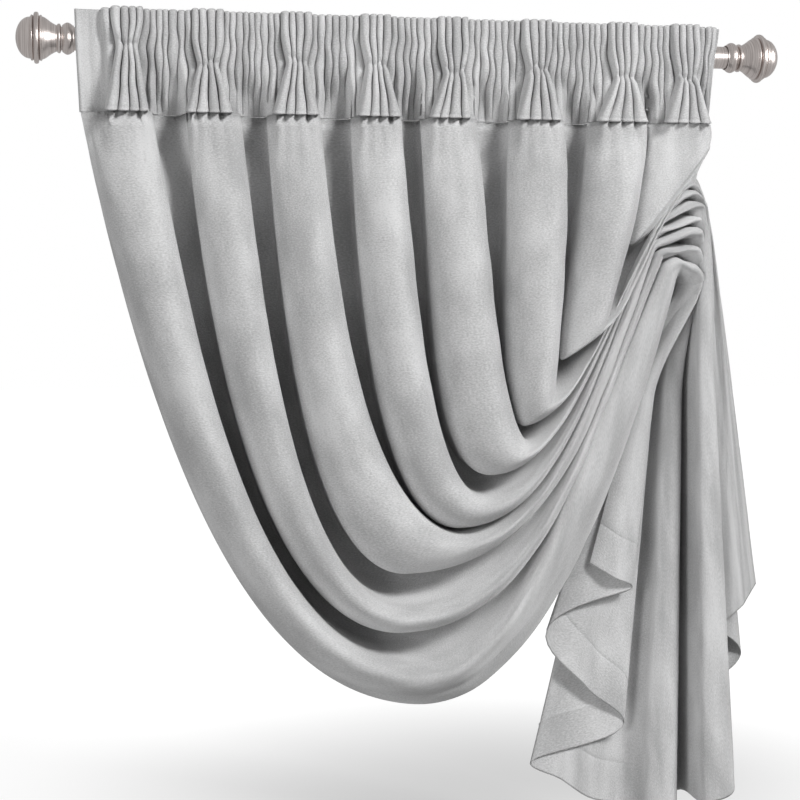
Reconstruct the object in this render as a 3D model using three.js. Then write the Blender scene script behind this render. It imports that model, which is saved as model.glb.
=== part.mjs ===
// A velvet curtain on a metal rod. One panel hangs from a pinch-pleated heading, is swept to the right
// in nested swags, is gathered there, and falls from the gather as a pleated tail.
// Millimetres, +Z up, +X to the right along the rod, -Y towards the room. The origin is the rod's middle.
import * as THREE from 'three';

// Rod and finials
const ROD_RADIUS = 12.7;
const ROD_SIDES = 20;
const FINIAL_INNER_END = 375;
const FINIAL_LENGTH = 62.8;
const FINIAL_SIDES = 20;
const SOCKET_DEPTH = 12;
const FIT_GAP = 0.3;

// Cloth
const PANEL_THICKNESS = 1.2;
const HEADING_THICKNESS = 3.6;
const HEADING_TOP = 30;
const HEADING_BOTTOM = -82;
const HEADING_BACK = -(ROD_RADIUS + FIT_GAP + HEADING_THICKNESS / 2);
const FINGERS_PER_CLUSTER = 4;
const GATHER_PITCH = 11;
const PANEL_TOP = HEADING_BOTTOM - FIT_GAP;

// Colours from the photograph
const VELVET = { color: 0xb9babb, roughness: 0.95, metalness: 0, side: THREE.DoubleSide };
const NICKEL = { color: 0xb3a6a0, roughness: 0.35, metalness: 0.9 };

// Reads a table whose first row names its columns.
function table(names, rows) {
  return rows.map((row) => Object.fromEntries(names.map((name, i) => [name, row[i]])));
}

const lerp = (a, b, t) => a + (b - a) * t;

function smooth(low, high, value) {
  const t = Math.min(Math.max((value - low) / (high - low), 0), 1);
  return t * t * (3 - 2 * t);
}

// Straight-line reading of one column against another.
function readAt(rows, key, value, column) {
  const last = rows.length - 1;
  if (value <= rows[0][key]) return rows[0][column];
  if (value >= rows[last][key]) return rows[last][column];
  const i = rows.findIndex((row) => row[key] > value);
  const t = (value - rows[i - 1][key]) / (rows[i][key] - rows[i - 1][key]);
  return lerp(rows[i - 1][column], rows[i][column], t);
}

// Which way a grid of middle points faces, square to the cloth. The top row stays level.
function facing(grid, i, j) {
  const lastAcross = grid.length - 1;
  const lastAlong = grid[0].length - 1;
  const du = new THREE.Vector3().subVectors(
    grid[Math.min(i + 1, lastAcross)][j], grid[Math.max(i - 1, 0)][j]);
  const dv = new THREE.Vector3().subVectors(
    grid[i][Math.min(j + 1, lastAlong)], grid[i][Math.max(j - 1, 0)]);
  const normal = dv.cross(du);
  if (j === 0) normal.z = 0;
  return normal.normalize();
}

// Closed sheet about a grid of middle points, grid[across][along]. wayOut(grid, i, j) is the way in which
// each point is thickened.
function sheetGeometry(grid, thickness, wayOut) {
  const across = grid.length;
  const along = grid[0].length;
  const faces = [1, -1].map(() => []);
  for (let i = 0; i < across; i += 1) {
    for (let j = 0; j < along; j += 1) {
      const way = wayOut(grid, i, j);
      faces[0].push(grid[i][j].clone().addScaledVector(way, thickness / 2));
      faces[1].push(grid[i][j].clone().addScaledVector(way, -thickness / 2));
    }
  }
  const positions = faces.flat().flatMap((p) => [p.x, p.y, p.z]);
  const front = (i, j) => i * along + j;
  const back = (i, j) => across * along + i * along + j;
  const triangles = [];
  const quad = (a, b, c, d) => triangles.push(a, b, c, a, c, d);
  for (let i = 0; i + 1 < across; i += 1) {
    for (let j = 0; j + 1 < along; j += 1) {
      quad(front(i, j), front(i, j + 1), front(i + 1, j + 1), front(i + 1, j));
      quad(back(i, j), back(i + 1, j), back(i + 1, j + 1), back(i, j + 1));
    }
    quad(front(i, 0), front(i + 1, 0), back(i + 1, 0), back(i, 0));
    quad(front(i, along - 1), back(i, along - 1), back(i + 1, along - 1), front(i + 1, along - 1));
  }
  for (let j = 0; j + 1 < along; j += 1) {
    quad(front(0, j), back(0, j), back(0, j + 1), front(0, j + 1));
    quad(front(across - 1, j), front(across - 1, j + 1), back(across - 1, j + 1), back(across - 1, j));
  }
  const geometry = new THREE.BufferGeometry();
  geometry.setAttribute('position', new THREE.Float32BufferAttribute(positions, 3));
  geometry.setIndex(triangles);
  return geometry;
}

// Heading: a row for each pinched cluster, left to right. Its fingers spread from the pinch to the hem
// of the heading, and stand in a tight bunch above it.
const clusters = table(['left', 'right', 'pinchX', 'pinchZ'], [
  [-342, -296, -318, -10],
  [-255, -205, -230, -30],
  [-160, -110, -132, -24],
  [-66, -18, -43, -24],
  [15, 61, 45, -32],
  [115, 166, 142, -26],
  [208, 268, 244, -32],
  [288, 343, 318, -32],
]);
const PINCH_WIDTH = 22;
const CLUSTER_TOP_WIDTH = 36;
// Heading: a row for each height, with its two sides and how far the crests and the valleys stand from the
// rod's axis. The outer edges curl forward by EDGE_CURL, clear of the knobs.
const headingRows = table(['z', 'left', 'right', 'fingerCrest', 'fingerValley', 'gatherCrest'], [
  [HEADING_TOP, -374, 361, -28, -19, -22],
  [14, -373.5, 358.5, -31, -21, -23.5],
  [-3, -373, 356, -32, -23, -21],
  [-27, -372, 353, -35, -26, -22.5],
  [-54, -370.5, 350.5, -40, -26, -23],
  [HEADING_BOTTOM, -369, 348, -43, -27, -21],
]);
const EDGE_STRIP = 26;
const EDGE_CURL = 3;
const RIGHT_EDGE = 3;
const TOP_ARCH = 3;

function clusterSpan(cluster, z) {
  if (z > cluster.pinchZ) {
    const t = smooth(cluster.pinchZ, HEADING_TOP, z);
    const half = lerp(PINCH_WIDTH, CLUSTER_TOP_WIDTH, t) / 2;
    return [cluster.pinchX - half, cluster.pinchX + half];
  }
  const t = smooth(cluster.pinchZ, HEADING_BOTTOM, z);
  return [lerp(cluster.pinchX - PINCH_WIDTH / 2, cluster.left, t),
    lerp(cluster.pinchX + PINCH_WIDTH / 2, cluster.right, t)];
}

// One row of the heading as points, from its left edge to its right edge: each pleat is a valley and a
// crest halfway along it. The thickness is taken straight out from the rod, so close pleats never cross.
function headingPoints(row) {
  const points = [];
  const add = (x, y, lift = 0) => points.push(new THREE.Vector3(x, y, row.z + lift));
  const pleat = (from, to, count, crest, valley, lift = 0) => {
    for (let k = 0; k < count; k += 1) {
      add(lerp(from, to, k / count), valley, lift);
      add(lerp(from, to, (k + 0.5) / count), crest, lift);
    }
  };
  const arch = row.z === HEADING_TOP ? TOP_ARCH : 0;
  add(row.left, HEADING_BACK - EDGE_CURL);
  add(row.left + EDGE_STRIP / 2, HEADING_BACK);
  let reached = row.left + EDGE_STRIP;
  let previous = { right: headingRows[0].left + EDGE_STRIP };
  for (const cluster of clusters) {
    const [left, right] = clusterSpan(cluster, row.z);
    const gathers = Math.max(Math.round((cluster.left - previous.right) / GATHER_PITCH), 1);
    pleat(reached, left, gathers, row.gatherCrest, HEADING_BACK);
    pleat(left, right, FINGERS_PER_CLUSTER, row.fingerCrest, row.fingerValley, arch);
    reached = right;
    previous = cluster;
  }
  pleat(reached, row.right - RIGHT_EDGE, 1, row.gatherCrest, HEADING_BACK);
  add(row.right - RIGHT_EDGE, HEADING_BACK);
  add(row.right, HEADING_BACK - EDGE_CURL);
  return points;
}

function headingGeometry() {
  const rows = headingRows.map(headingPoints);
  const towardsRoom = new THREE.Vector3(0, -1, 0);
  return sheetGeometry(rows[0].map((_, i) => rows.map((points) => points[i])), HEADING_THICKNESS,
    () => towardsRoom);
}

// Panel: a row for each line that shows on the swag, from the leading edge up to the right-hand edge.
// Each line leaves the heading, hangs to its lowest place (the belly), and rises to its waist by the
// gather. `edge` is a fold's lower or outer side and `crest` is its brow. `tuck` is how much of the full
// depth the valley beside a crest keeps near the gather.
const swagLines = table(['kind', 'topX', 'lean', 'bellyX', 'bellyZ', 'turn', 'inward', 'outward',
  'waistX', 'waistZ', 'riseX', 'tuck'], [
  ['leading', -368, 0.20, 10, -741, 0, 190, 145, 306, -265, 50, 0],
  ['edge', -361, 0.20, 0, -728, 0, 185, 124, 297, -262, 58, 0],
  ['crest', -300, 0.15, 6, -698, 0, 160, 120, 285, -250, 100, 1],
  ['edge', -254, 0.08, -20, -656, 0, 130, 172, 280, -242, 82, 0],
  ['crest', -204, 0.08, -10, -634, 0, 105, 152, 274, -238, 76, 0.4],
  ['edge', -165, 0.05, -15, -590, 0, 90, 174, 270, -234, 56, 0],
  ['crest', -116, 0.06, 55, -552, 5, 100, 104, 267, -230, 66, 0.2],
  ['edge', -71, 0.02, 45, -540, 0, 75, 118, 265, -225, 66, 0],
  ['crest', -25, 0.05, 75, -512, 5, 55, 85, 265, -219, 60, 0.4],
  ['edge', 8, 0.05, 82, -481, 0, 62, 82, 267, -213, 58, 0],
  ['crest', 61, 0.06, 124, -451, 10, 30, 38, 270, -207, 55, 0.5],
  ['edge', 110, -0.03, 122, -426, 5, 26, 52, 275, -200, 58, 0],
  ['crest', 164, 0.01, 152, -396, 10, 6, 34, 280, -193, 56, 0.6],
  ['edge', 203, -0.08, 165, -352, 22, 8, 50, 287, -184, 42, 0],
  ['crest', 262, -0.10, 214, -308, 30, 10, 35, 294, -176, 40, 0.7],
  ['edge', 276, -0.15, 247, -221, 35, 12, 25, 305, -166, 18, 0],
  ['right', 346, 0.00, 341, -108, -95, 10, 8, 323, -147, -3, 0],
]);
const FALL_SHARE = 0.58;
const RISE_SHARE = 0.45;
// Depth of the folds, a row for each station along the swag from the heading (0) to the waist (1).
const swagDepth = table(['share', 'leading', 'edge', 'crest', 'valley', 'right'], [
  [0, -18, -22, -42, -17, -28],
  [0.25, -20, -28, -66, -10, -36],
  [0.5, -36, -50, -72, -20, -44],
  [0.65, -42, -52, -70, -32, -45],
  [0.8, -46, -53, -65, -40, -46],
  [1, -50, -51, -60, -42, -48],
]);
// A valley lies beside its crest on the falling leg, and under the next edge on the rising one.
const VALLEY_SHARE_LEFT = 0.34;
const VALLEY_SHARE_RIGHT = 0.82;
const VALLEY_MOVES = { from: 0.25, to: 0.6 };
const TUCKS = { from: 0.5, to: 0.7 };
// Gather: where the lines turn in at the stack of folds, by line number across the cloth.
const gatherFolds = table(['line', 'x', 'y', 'z'], [
  [0, 314, -50, -263],
  [1, 318, -52, -258],
  [2, 318, -61, -247],
  [3, 309, -40, -236],
  [4, 312, -50, -230],
  [5, 316, -57, -223],
  [6, 308, -34, -215],
  [7, 312, -50, -209],
  [8, 319, -62, -203],
  [9, 311, -44, -197],
  [11, 320, -58, -188],
  [12, 312, -44, -183],
  [14, 322, -62, -174],
  [15, 314, -44, -169],
  [17, 321, -58, -163],
  [18, 316, -46, -160],
  [20, 323, -56, -155],
  [21, 319, -48, -153],
  [23, 326, -46, -149],
]);
const KNOT_HANDLE = 12;
const JUST_BEFORE_WAIST = 0.98;
// Tail: a row for each pleat line, by its line number across the cloth.
const tailPleats = table(['line', 'shoulderX', 'shoulderY', 'hemX', 'hemY', 'hemZ'], [
  [0, 258, -22, 206, -24, -588],
  [1, 268, -28, 232, -34, -604],
  [2, 281, -22, 255, -26, -619],
  [3, 250, -14, 159, -13, -664],
  [4, 268, -11, 207, -12, -735],
  [5, 285, -7, 251, -6, -785],
  [6, 246, 0, 146, 5, -822],
  [8, 275, 1, 215, 3, -868],
  [9, 292, 6, 250, 8, -878],
  [11, 310, -12, 302, -16, -883],
  [12, 313, 10, 311, 14, -868],
  [13, 317, -42, 326, -40, -864],
  [14, 338, -52, 369, -50, -851],
  [15, 347, -12, 358, -4, -745],
  [16, 365, -8, 397, -6, -703],
  [17, 352, -24, 356, -24, -668],
  [20, 368, -38, 386, -38, -640],
  [23, 379, -24, 408, -24, -616],
]);
const SHOULDER_Z = -400;
const TURN_SHARE = 0.4;
const LAST_LINE = tailPleats[tailPleats.length - 1].line;
const FIRST_FALLING_LINE = 11;
const FALLING_TURN = -50;
// Steps along the cloth for each stretch, and steps across it between two lines.
const STEPS = { fall: 11, rise: 10, knot: 4, drop: 7, tail: 5 };
const STEPS_ACROSS = 2;

function bezier(a, b, c, d, t) {
  const u = 1 - t;
  return a.clone().multiplyScalar(u * u * u).addScaledVector(b, 3 * u * u * t)
    .addScaledVector(c, 3 * u * t * t).addScaledVector(d, t * t * t);
}

// A shown line of the swag at a share of its way from the heading to the waist, without depth.
function shownPoint(row, share) {
  const turn = THREE.MathUtils.degToRad(row.turn);
  const along = new THREE.Vector3(Math.cos(turn), 0, Math.sin(turn));
  const top = new THREE.Vector3(row.topX, 0, PANEL_TOP);
  const belly = new THREE.Vector3(row.bellyX, 0, row.bellyZ);
  const waist = new THREE.Vector3(row.waistX, 0, row.waistZ);
  if (share <= 0.5) {
    const fall = new THREE.Vector3(row.lean, 0, -1).multiplyScalar((PANEL_TOP - row.bellyZ) * FALL_SHARE);
    return bezier(top, top.clone().add(fall), belly.clone().addScaledVector(along, -row.inward), belly,
      share * 2);
  }
  const rise = new THREE.Vector3(row.riseX, 0, (row.waistZ - row.bellyZ) * RISE_SHARE);
  return bezier(belly, belly.clone().addScaledVector(along, row.outward), waist.clone().sub(rise), waist,
    share * 2 - 1);
}

// Every line across the cloth: the shown ones, and a valley between each crest and the next edge.
const lines = swagLines.flatMap((row, i) => (row.kind === 'crest'
  ? [{ kind: 'crest', row }, { kind: 'valley', row, next: swagLines[i + 1] }]
  : [{ kind: row.kind, row }]));

function swagPoint(line, share) {
  const point = shownPoint(line.row, share);
  if (line.kind === 'valley') {
    point.lerp(shownPoint(line.next, share), lerp(VALLEY_SHARE_LEFT, VALLEY_SHARE_RIGHT,
      smooth(VALLEY_MOVES.from, VALLEY_MOVES.to, share)));
  }
  point.y = readAt(swagDepth, 'share', share, line.kind);
  if (line.kind === 'valley') {
    const kept = lerp(1, line.row.tuck, smooth(TUCKS.from, TUCKS.to, share));
    point.y = lerp(readAt(swagDepth, 'share', share, 'edge'), point.y, kept);
  }
  return point;
}

// The middle of the cloth along one line, from the heading to the hem.
function linePath(line, number) {
  const points = [];
  for (let j = 0; j < STEPS.fall; j += 1) points.push(swagPoint(line, (0.5 * j) / STEPS.fall));
  for (let j = 0; j < STEPS.rise; j += 1) points.push(swagPoint(line, 0.5 + (0.5 * j) / STEPS.rise));
  const waist = swagPoint(line, 1);
  const arriving = waist.clone().sub(swagPoint(line, JUST_BEFORE_WAIST)).normalize();
  const knot = new THREE.Vector3(...['x', 'y', 'z'].map((axis) => readAt(gatherFolds, 'line', number, axis)));
  const turn = THREE.MathUtils.degToRad(FALLING_TURN * smooth(FIRST_FALLING_LINE, LAST_LINE, number));
  const leaving = new THREE.Vector3(Math.cos(turn), 0, Math.sin(turn));
  for (let j = 0; j < STEPS.knot; j += 1) {
    points.push(bezier(waist, waist.clone().addScaledVector(arriving, KNOT_HANDLE),
      knot.clone().addScaledVector(leaving, -KNOT_HANDLE), knot, j / STEPS.knot));
  }
  const tail = (column) => readAt(tailPleats, 'line', number, column);
  const shoulder = new THREE.Vector3(tail('shoulderX'), tail('shoulderY'), SHOULDER_Z);
  const hem = new THREE.Vector3(tail('hemX'), tail('hemY'), tail('hemZ'));
  const down = hem.clone().sub(shoulder).normalize();
  const reach = KNOT_HANDLE + TURN_SHARE * Math.abs(shoulder.y - knot.y);
  for (let j = 0; j < STEPS.drop; j += 1) {
    points.push(bezier(knot, knot.clone().addScaledVector(leaving, reach),
      shoulder.clone().addScaledVector(down, TURN_SHARE * (SHOULDER_Z - knot.z)), shoulder, j / STEPS.drop));
  }
  for (let j = 0; j <= STEPS.tail; j += 1) points.push(shoulder.clone().lerp(hem, j / STEPS.tail));
  return points;
}

// Across the folds: a curve through the lines whose slopes never swing wider than the nearer neighbour.
function across(before, from, to, after, t) {
  const slope = (a, b, c) => {
    const reach = Math.min(a.distanceTo(b), b.distanceTo(c));
    const way = c.clone().sub(a);
    return way.lengthSq() > 0 ? way.normalize().multiplyScalar(reach) : way;
  };
  const start = slope(before, from, to);
  const end = slope(from, to, after);
  return bezier(from, from.clone().addScaledVector(start, 1 / 3), to.clone().addScaledVector(end, -1 / 3),
    to, t);
}

function panelGeometry() {
  const paths = lines.map(linePath);
  const grid = [];
  const last = paths.length - 1;
  for (let i = 0; i < last; i += 1) {
    for (let s = 0; s < STEPS_ACROSS; s += 1) {
      grid.push(paths[i].map((point, j) => across(paths[Math.max(i - 1, 0)][j], point,
        paths[i + 1][j], paths[Math.min(i + 2, last)][j], s / STEPS_ACROSS)));
    }
  }
  grid.push(paths[last]);
  return sheetGeometry(grid, PANEL_THICKNESS, facing);
}

// Finial: half outline as distance from its outer tip and radius, turned about the rod's axis.
const DOME = { length: 15.5, radius: 22.5, steps: 5 };
const COLLAR = { from: 50.2, to: 61.8, radius: 17.4, steps: 5, rimRadius: 13.8 };
const finialRings = table(['from', 'to', 'radius'], [
  [16.2, 19.2, 24.8],
  [20, 25, 28],
  [25.8, 28.8, 24.8],
]);
const finialBody = table(['at', 'radius'], [
  [31.5, 22.2],
  [36, 19],
  [41, 15.8],
  [44.5, 14.2],
  [46, 15.9],
  [48.2, 15.9],
  [49.2, 12.8],
  [50, 12.8],
]);

function finialGeometry() {
  const outline = [new THREE.Vector2(0, 0)];
  const add = (at, radius) => outline.push(new THREE.Vector2(radius, at));
  for (let i = 1; i <= DOME.steps; i += 1) {
    const angle = (Math.PI / 2) * (i / DOME.steps);
    add(DOME.length * (1 - Math.cos(angle)), DOME.radius * Math.sin(angle));
  }
  for (const ring of finialRings) {
    const chamfer = (ring.to - ring.from) / 4;
    add(ring.from, ring.radius - chamfer);
    add(ring.from + chamfer, ring.radius);
    add(ring.to - chamfer, ring.radius);
    add(ring.to, ring.radius - chamfer);
  }
  for (const station of finialBody) add(station.at, station.radius);
  for (let i = 0; i <= COLLAR.steps; i += 1) {
    const swell = Math.sin(Math.PI * (i / COLLAR.steps));
    add(lerp(COLLAR.from, COLLAR.to, i / COLLAR.steps), lerp(COLLAR.rimRadius, COLLAR.radius, swell));
  }
  add(FINIAL_LENGTH, COLLAR.rimRadius);
  add(FINIAL_LENGTH, ROD_RADIUS + FIT_GAP);
  add(FINIAL_LENGTH - SOCKET_DEPTH, ROD_RADIUS + FIT_GAP);
  add(FINIAL_LENGTH - SOCKET_DEPTH, 0);
  return new THREE.LatheGeometry(outline, FINIAL_SIDES);
}

function piece(name, geometry, finish) {
  const mesh = new THREE.Mesh(geometry, new THREE.MeshStandardMaterial(finish));
  mesh.name = name;
  return mesh;
}

const curtain = new THREE.Group();

const rodLength = 2 * (FINIAL_INNER_END + SOCKET_DEPTH - FIT_GAP);
const rod = piece('rod', new THREE.CylinderGeometry(ROD_RADIUS, ROD_RADIUS, rodLength, ROD_SIDES), NICKEL);
rod.rotation.z = Math.PI / 2;
curtain.add(rod);

for (const [name, side] of [['finial_left', -1], ['finial_right', 1]]) {
  const finial = piece(name, finialGeometry(), NICKEL);
  finial.rotation.z = (side * Math.PI) / 2;
  finial.position.x = side * (FINIAL_INNER_END + FINIAL_LENGTH);
  curtain.add(finial);
}

curtain.add(piece('curtain_heading', headingGeometry(), VELVET));
curtain.add(piece('curtain_panel', panelGeometry(), VELVET));

export default curtain;
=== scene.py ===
"""A grey velvet curtain on a brushed metal rod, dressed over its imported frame.

One panel hangs from a pinch-pleated heading, is swept to the right in nested swags, is gathered
there, and falls from the gather as a pleated tail. Each class says which unit its sizes are in.
"""
import logging
import math
from dataclasses import dataclass, field
from enum import Enum
from typing import Sequence

import bpy
import numpy as np
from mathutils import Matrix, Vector


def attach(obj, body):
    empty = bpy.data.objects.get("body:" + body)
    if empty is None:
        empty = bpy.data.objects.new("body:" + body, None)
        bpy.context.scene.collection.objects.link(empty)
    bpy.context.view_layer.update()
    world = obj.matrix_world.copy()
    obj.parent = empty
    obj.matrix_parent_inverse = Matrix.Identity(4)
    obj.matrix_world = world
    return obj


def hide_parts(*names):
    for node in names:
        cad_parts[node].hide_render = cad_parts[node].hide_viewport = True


LOG = logging.getLogger("curtain")
MM = 0.001
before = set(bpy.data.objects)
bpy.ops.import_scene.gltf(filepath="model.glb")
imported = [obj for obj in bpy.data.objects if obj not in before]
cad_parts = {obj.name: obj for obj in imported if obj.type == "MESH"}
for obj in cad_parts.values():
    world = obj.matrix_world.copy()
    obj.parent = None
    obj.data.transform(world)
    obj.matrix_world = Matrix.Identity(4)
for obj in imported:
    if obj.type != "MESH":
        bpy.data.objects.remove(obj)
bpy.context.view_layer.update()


class Body(Enum):
    """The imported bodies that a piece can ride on."""

    ROOT = "root"


class Slot(Enum):
    """Material slots of the record."""

    VELVET = "velvet"
    METAL = "metal"


class LineKind(Enum):
    """What a line across the swag is."""

    LEADING = "leading"
    EDGE = "edge"
    CREST = "crest"
    VALLEY = "valley"
    RIGHT = "right"


def lerp(start: float, end: float, share: float) -> float:
    """Returns the value at a share of the way from start to end."""
    return start + (end - start) * share


def smooth(low: float, high: float, value: float) -> float:
    """Returns 0 below low, 1 above high, and an easy slope between."""
    share = min(max((value - low) / (high - low), 0.0), 1.0)
    return share * share * (3.0 - 2.0 * share)


def bezier(points: Sequence[np.ndarray], share: float) -> np.ndarray:
    """Returns a point of a cubic curve.

    Args:
        points: its two ends with their two handles between.
        share: how far along, from 0 to 1.

    Returns:
        The point.
    """
    rest = 1.0 - share
    weights = (rest**3, 3 * rest**2 * share, 3 * rest * share**2, share**3)
    return sum(weight * point for weight, point in zip(weights, points))


def unit(vectors: np.ndarray) -> np.ndarray:
    """Returns the vectors at length 1."""
    return vectors / np.maximum(np.linalg.norm(vectors, axis=-1, keepdims=True), 1e-12)


def linked(name: str, data: bpy.types.ID) -> bpy.types.Object:
    """Returns a new object of the data, linked to the scene."""
    piece = bpy.data.objects.new(name, data)
    bpy.context.collection.objects.link(piece)
    return piece


class NodeBench:
    """Adds and joins the nodes of one material."""

    def __init__(self, name: str) -> None:
        """Starts a material with only a Principled shader.

        Args:
            name: the material's name.
        """
        self.material = bpy.data.materials.new(name)
        self.material.use_nodes = True
        self.tree = self.material.node_tree
        self.shader = self.tree.nodes["Principled BSDF"]

    def add(self, kind: str, **values: object) -> bpy.types.Node:
        """Adds a node.

        Args:
            kind: Blender's name for it.
            values: its settings, or its inputs where the name has a capital.

        Returns:
            The node.
        """
        node = self.tree.nodes.new(kind)
        for name, value in values.items():
            if name[0].isupper():
                node.inputs[name.replace("_", " ")].default_value = value
            else:
                setattr(node, name, value)
        return node

    def shade(self, **values: object) -> None:
        """Sets inputs of the shader, with _ for each space in an input's name."""
        for name, value in values.items():
            self.shader.inputs[name.replace("_", " ")].default_value = value

    def join(self, out: bpy.types.NodeSocket, into: bpy.types.NodeSocket) -> None:
        """Links an output to an input."""
        self.tree.links.new(out, into)

    def ramp(self, source: bpy.types.NodeSocket, stops: Sequence[tuple[float, tuple]]) -> bpy.types.Node:
        """Adds a colour ramp.

        Args:
            source: what it reads.
            stops: each place with its red, green and blue.

        Returns:
            The ramp.
        """
        node = self.add("ShaderNodeValToRGB")
        while len(node.color_ramp.elements) < len(stops):
            node.color_ramp.elements.new(0.5)
        for element, (place, colour) in zip(node.color_ramp.elements, stops):
            element.position = place
            element.color = (*colour, 1.0)
        self.join(source, node.inputs["Fac"])
        return node

    def bump(self, height: bpy.types.NodeSocket, distance: float, strength: float,
             under: bpy.types.Node | None = None) -> bpy.types.Node:
        """Adds a bump over another one.

        Args:
            height: the pattern.
            distance: its depth.
            strength: its share.
            under: the bump below it.

        Returns:
            The bump.
        """
        node = self.add("ShaderNodeBump", Distance=distance, Strength=strength)
        self.join(height, node.inputs["Height"])
        if under is not None:
            self.join(under.outputs["Normal"], node.inputs["Normal"])
        return node


@dataclass(frozen=True)
class VelvetFinish:
    """Short-pile velvet: speckled nap, brushed patches and sheen. Lengths are metres."""

    name: str = "velvet"
    dark: tuple[float, float, float] = (0.37, 0.37, 0.372)
    light: tuple[float, float, float] = (0.59, 0.59, 0.592)
    roughness: float = 0.92
    sheen: float = 0.45
    nap_per_metre: float = 620.0
    patch_per_metre: float = 24.0
    brushed_per_metre: float = 110.0
    brushed_way: float = 0.35
    tone_places: tuple[float, float] = (0.40, 0.60)
    soft_bump: tuple[float, float] = (0.0012, 0.35)
    nap_bump: tuple[float, float] = (0.0008, 0.6)
    specular: float = 0.15
    sheen_roughness: float = 0.45

    def material(self) -> bpy.types.Material:
        """Returns the cloth's material."""
        bench = NodeBench(self.name)
        uv = bench.add("ShaderNodeUVMap", uv_map="cloth")
        patches = bench.add("ShaderNodeTexNoise", Scale=self.patch_per_metre, Detail=3.0, Roughness=0.55)
        nap = bench.add("ShaderNodeTexNoise", Scale=self.nap_per_metre, Detail=3.0, Roughness=0.65)
        stretch = bench.add("ShaderNodeMapping", Scale=(1.0, self.brushed_way, 1.0))
        brushed = bench.add("ShaderNodeTexNoise", Scale=self.brushed_per_metre, Detail=4.0, Roughness=0.6)
        bench.join(uv.outputs["UV"], stretch.inputs["Vector"])
        bench.join(stretch.outputs["Vector"], brushed.inputs["Vector"])
        bench.join(stretch.outputs["Vector"], patches.inputs["Vector"])
        bench.join(uv.outputs["UV"], nap.inputs["Vector"])
        both = bench.add("ShaderNodeMath", operation="ADD")
        bench.join(patches.outputs["Fac"], both.inputs[0])
        bench.join(nap.outputs["Fac"], both.inputs[1])
        halved = bench.add("ShaderNodeMath", operation="MULTIPLY")
        halved.inputs[1].default_value = 0.5
        bench.join(both.outputs[0], halved.inputs[0])
        tones = tuple(zip(self.tone_places, (self.dark, self.light)))
        colour = bench.ramp(halved.outputs[0], tones)
        bench.join(colour.outputs["Color"], bench.shader.inputs["Base Color"])
        soft = bench.bump(brushed.outputs["Fac"], *self.soft_bump)
        fine = bench.bump(nap.outputs["Fac"], *self.nap_bump, soft)
        bench.join(fine.outputs["Normal"], bench.shader.inputs["Normal"])
        bench.shade(Roughness=self.roughness, Specular_IOR_Level=self.specular, Sheen_Weight=self.sheen,
                    Sheen_Roughness=self.sheen_roughness, Sheen_Tint=(1.0, 1.0, 1.0, 1.0))
        return bench.material


@dataclass(frozen=True)
class NickelFinish:
    """Brushed nickel with fine lines that run round the turned parts. Lengths are metres."""

    name: str = "brushed_nickel"
    colour: tuple[float, float, float] = (0.50, 0.445, 0.425)
    worn: tuple[float, float, float] = (0.84, 0.775, 0.745)
    lines_per_metre: float = 950.0
    cloud_per_metre: float = 60.0
    squeeze: float = 0.02
    roughness: tuple[float, float] = (0.24, 0.36)
    line_bump: tuple[float, float] = (0.0002, 0.25)

    def material(self) -> bpy.types.Material:
        """Returns the metal's material."""
        bench = NodeBench(self.name)
        place = bench.add("ShaderNodeTexCoord")
        squeeze = bench.add("ShaderNodeMapping", Scale=(1.0, self.squeeze, self.squeeze))
        lines = bench.add("ShaderNodeTexNoise", Scale=self.lines_per_metre, Detail=2.0, Roughness=0.7)
        cloud = bench.add("ShaderNodeTexNoise", Scale=self.cloud_per_metre, Detail=3.0, Roughness=0.6)
        bench.join(place.outputs["Object"], squeeze.inputs["Vector"])
        bench.join(squeeze.outputs["Vector"], lines.inputs["Vector"])
        bench.join(place.outputs["Object"], cloud.inputs["Vector"])
        tone = bench.ramp(lines.outputs["Fac"], ((0.3, self.colour), (0.7, self.worn)))
        bench.join(tone.outputs["Color"], bench.shader.inputs["Base Color"])
        low, high = self.roughness
        rough = bench.add("ShaderNodeMapRange", To_Min=low, To_Max=high)
        bench.join(cloud.outputs["Fac"], rough.inputs["Value"])
        bench.join(rough.outputs["Result"], bench.shader.inputs["Roughness"])
        bump = bench.bump(lines.outputs["Fac"], *self.line_bump)
        bench.join(bump.outputs["Normal"], bench.shader.inputs["Normal"])
        bench.shade(Metallic=1.0)
        return bench.material


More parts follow.
